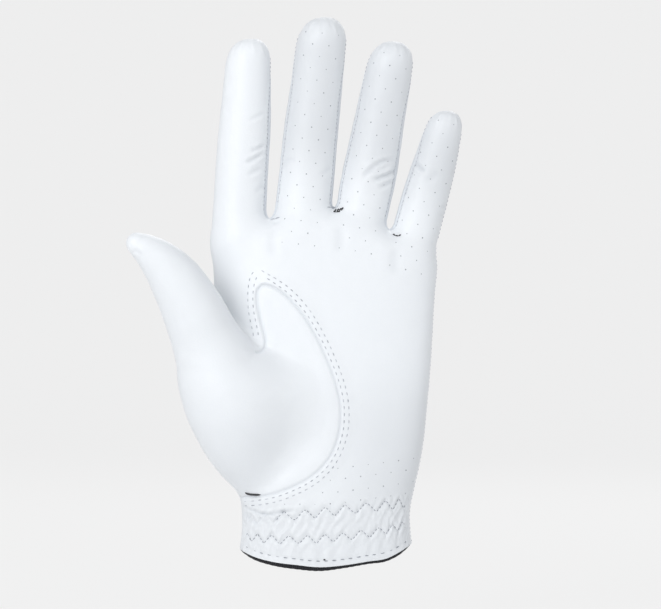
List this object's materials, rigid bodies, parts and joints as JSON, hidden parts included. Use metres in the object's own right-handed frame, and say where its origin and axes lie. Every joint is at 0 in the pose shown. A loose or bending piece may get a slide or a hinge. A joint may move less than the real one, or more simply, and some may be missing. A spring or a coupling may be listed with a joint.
{
  "type": "golf glove",
  "caption": "Thin white leather golf glove for the left hand, filled as if worn, with fourchettes, shirred elastic wrist, bound back opening and a hook-and-loop closure tab.",
  "frame": {"origin": "centre of the wrist opening, at the height of the lowest point of the leather hem", "axes": "+Z from the wrist opening towards the fingertips; the palm side faces -Y and the back +Y; the thumb is on the -X side and the little finger on the +X side"},
  "size_m": [0.1378, 0.0665, 0.2326],
  "materials": {
    "white_leather": "thin smooth white leather with a fine grain and a soft sheen",
    "gusset_leather": "thin smooth white leather with a fine grain",
    "tab_leather": "smooth white leather with an edge row of stitching",
    "elastic": "woven white elastic, gathered",
    "seam_tape": "thin white reinforcing tape",
    "hem_tape": "matt black woven tape",
    "binding": "folded white leather binding",
    "loops": "white brushed loops",
    "hooks": "white moulded hooks"
  },
  "bodies": {
    "hand": {"back_leather": "white_leather", "fork_gusset_index_middle": "gusset_leather", "fork_gusset_middle_ring": "gusset_leather", "fork_gusset_ring_little": "gusset_leather", "hem_tape": "hem_tape", "loop_pad": "loops", "lower_elastic": "elastic", "palm_leather": "white_leather", "slit_binding": "binding", "tab_anchor": "tab_leather", "thumb_leather": "white_leather", "thumb_seam_tape": "seam_tape", "upper_elastic": "elastic"},
    "closure_tab": {"tab_leather": "tab_leather", "tab_lining": "tab_leather", "hook_pad": "hooks"},
    "index_finger": {"index_back": "white_leather", "index_fourchette": "gusset_leather", "index_front": "white_leather"},
    "middle_finger": {"middle_back": "white_leather", "middle_fourchette_index_side": "gusset_leather", "middle_fourchette_ring_side": "gusset_leather", "middle_front": "white_leather"},
    "ring_finger": {"ring_back": "white_leather", "ring_fourchette_little_side": "gusset_leather", "ring_fourchette_middle_side": "gusset_leather", "ring_front": "white_leather"},
    "little_finger": {"little_back": "white_leather", "little_fourchette": "gusset_leather", "little_front": "white_leather"},
    "thumb_tip": {"thumb_stall": "white_leather"}
  },
  "joints": [
    {"name": "tab_hinge", "type": "hinge", "parent": "hand", "child": "closure_tab", "pos_m": [-0.017, 0.02244, 0.031], "axis": [0, 0, 1], "range_deg": [0, 150]},
    {"name": "index_flex", "type": "hinge", "parent": "hand", "child": "index_finger", "pos_m": [-0.03439, -0.01108, 0.15649], "axis": [0.9993, 0, -0.0384], "range_deg": [0, 75]},
    {"name": "middle_flex", "type": "hinge", "parent": "hand", "child": "middle_finger", "pos_m": [-0.0085, -0.01108, 0.15796], "axis": [0.9956, 0, -0.0941], "range_deg": [0, 75]},
    {"name": "ring_flex", "type": "hinge", "parent": "hand", "child": "ring_finger", "pos_m": [0.01661, -0.01052, 0.15442], "axis": [0.9895, 0, -0.1444], "range_deg": [0, 75]},
    {"name": "little_flex", "type": "hinge", "parent": "hand", "child": "little_finger", "pos_m": [0.03921, -0.0088, 0.1458], "axis": [0.9755, 0, -0.2199], "range_deg": [0, 75]},
    {"name": "thumb_flex", "type": "hinge", "parent": "hand", "child": "thumb_tip", "pos_m": [-0.04379, -0.03288, 0.11168], "axis": [0.2526, 0.8557, 0.4516], "range_deg": [0, 45]}
  ]
}
